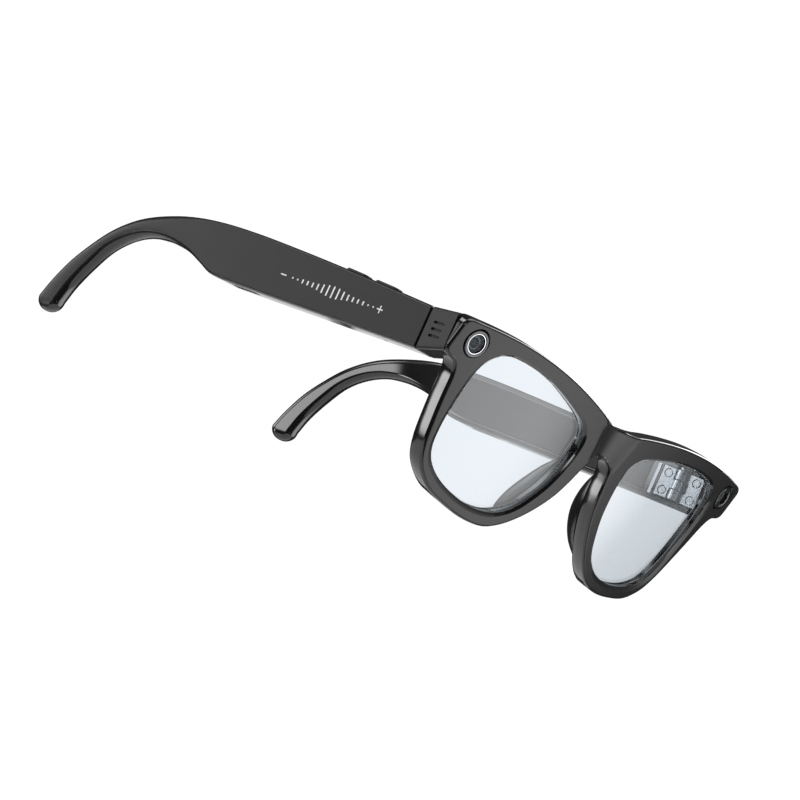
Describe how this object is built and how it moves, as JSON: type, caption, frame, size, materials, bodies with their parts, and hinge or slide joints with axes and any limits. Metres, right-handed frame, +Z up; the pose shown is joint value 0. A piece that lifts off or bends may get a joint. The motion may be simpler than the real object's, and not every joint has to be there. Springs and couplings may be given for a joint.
{
  "type": "smart glasses",
  "caption": "Camera glasses with a broad black front, tinted lenses, a camera and a status light in the end pieces, push buttons on one temple, and folding hollow temples.",
  "frame": {"origin": "middle of the bounding box's bottom, on the surface the open glasses stand on", "axes": "+X towards the wearer's left, +Y backwards along the temples, +Z up; the front faces -Y"},
  "size_m": [0.1492, 0.1476, 0.0464],
  "materials": {
    "gloss_black_plastic": "gloss",
    "satin_black_plastic": "satin",
    "dark_plastic": "matte",
    "lens_glass": "clear, light grey tint",
    "cover_glass": "dark clear",
    "lens_blue": "coated",
    "steel": "satin",
    "grille_metal": "matte",
    "gold_plate": "plated",
    "circuit_board": "solder mask",
    "polyimide_film": "satin film",
    "battery_foil": "foil",
    "diffuser_white": "frosted"
  },
  "bodies": {
    "front": {"front_frame": "gloss_black_plastic", "brow_wire_cover": "satin_black_plastic", "brow_flex_cable": "polyimide_film", "left_lens": "lens_glass", "left_nose_pad": "gloss_black_plastic", "left_front_hinge_leaf": "steel", "left_hinge_screw": "steel", "left_front_leaf_screw_upper": "steel", "left_front_leaf_screw_lower": "steel", "right_lens": "lens_glass", "right_nose_pad": "gloss_black_plastic", "right_front_hinge_leaf": "steel", "right_hinge_screw": "steel", "right_front_leaf_screw_upper": "steel", "right_front_leaf_screw_lower": "steel", "camera_bezel": "steel", "camera_window": "cover_glass", "camera_barrel": "dark_plastic", "camera_optic": "lens_blue", "camera_sensor_board": "circuit_board", "light_bezel": "steel", "light_window": "cover_glass", "light_guide": "diffuser_white", "light_board": "circuit_board"},
    "left_temple": {"left_temple_shell": "gloss_black_plastic", "left_temple_inner_cover": "satin_black_plastic", "left_temple_hinge_leaf": "steel", "left_temple_leaf_screw_upper": "steel", "left_temple_leaf_screw_lower": "steel", "left_speaker_grille": "grille_metal", "left_battery": "battery_foil", "left_speaker": "dark_plastic", "left_circuit_board": "circuit_board", "left_microphone": "steel"},
    "right_temple": {"right_temple_shell": "gloss_black_plastic", "right_temple_inner_cover": "satin_black_plastic", "right_temple_hinge_leaf": "steel", "right_temple_leaf_screw_upper": "steel", "right_temple_leaf_screw_lower": "steel", "right_speaker_grille": "grille_metal", "right_battery": "battery_foil", "right_speaker": "dark_plastic", "right_circuit_board": "circuit_board", "right_microphone": "steel", "processor_shield": "steel", "touch_sensor_film": "polyimide_film", "button_board": "circuit_board", "capture_switch": "dark_plastic", "power_switch": "dark_plastic", "charge_pin_front": "gold_plate", "charge_pin_rear": "gold_plate"},
    "capture_button": {"capture_button": "gloss_black_plastic"},
    "power_button": {"power_button": "gloss_black_plastic"}
  },
  "joints": [
    {"name": "left_temple_fold", "type": "hinge", "parent": "front", "child": "left_temple", "pos_m": [0.06471, -0.05401, 0.03722], "axis": [0, 0.0638, 0.998], "range_deg": [0, 86.5]},
    {"name": "right_temple_fold", "type": "hinge", "parent": "front", "child": "right_temple", "pos_m": [-0.06471, -0.05401, 0.03722], "axis": [0, -0.0638, -0.998], "range_deg": [0, 66]},
    {"name": "capture_press", "type": "slide", "parent": "right_temple", "child": "capture_button", "axis": [0.0054, -0.0082, -1], "range_m": [0, 0.0005], "stiffness_N_per_m": 1500},
    {"name": "power_press", "type": "slide", "parent": "right_temple", "child": "power_button", "axis": [0.0054, -0.0082, -1], "range_m": [0, 0.0005], "stiffness_N_per_m": 1500}
  ]
}
